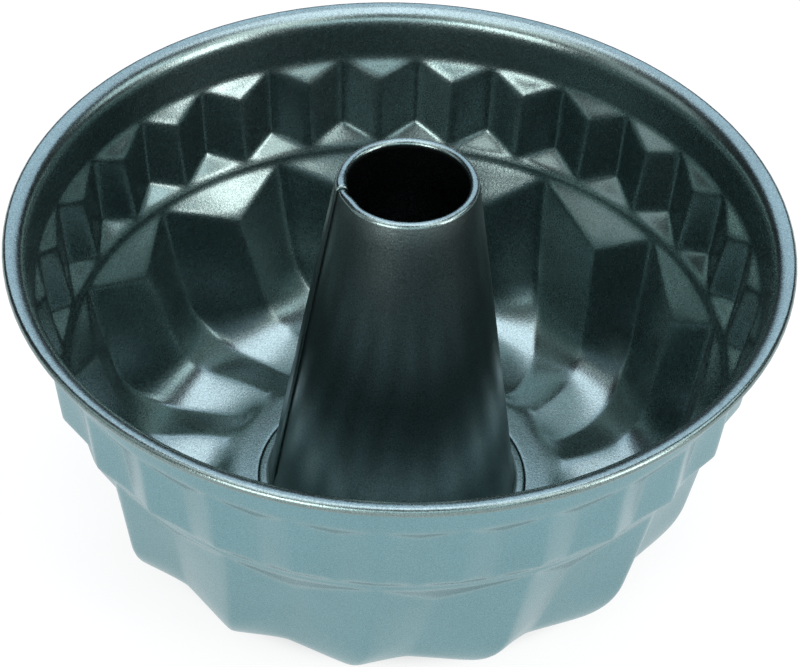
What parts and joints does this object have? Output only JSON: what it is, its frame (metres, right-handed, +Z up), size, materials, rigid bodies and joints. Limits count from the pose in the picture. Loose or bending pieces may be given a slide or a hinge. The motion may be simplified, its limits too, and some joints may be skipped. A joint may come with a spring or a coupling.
{
  "type": "ring mould",
  "caption": "Deep round baking mould of coated steel sheet with a rolled rim, a faceted upper wall, swirled flutes and an open conical centre tube, for ring cakes.",
  "frame": {"origin": "on the ring's axis, in the plane that the flutes stand on", "axes": "+Z up along the centre tube; -Y towards the viewer of the picture, +X to the viewer's right"},
  "size_m": [0.22, 0.22, 0.1155],
  "materials": {
    "pan_coating": "satin non-stick coating with a fine metallic grain",
    "tube_coating": "satin non-stick coating with a fine metallic grain"
  },
  "bodies": {
    "root": {"pan_body": "pan_coating", "centre_tube": "tube_coating"}
  },
  "joints": []
}
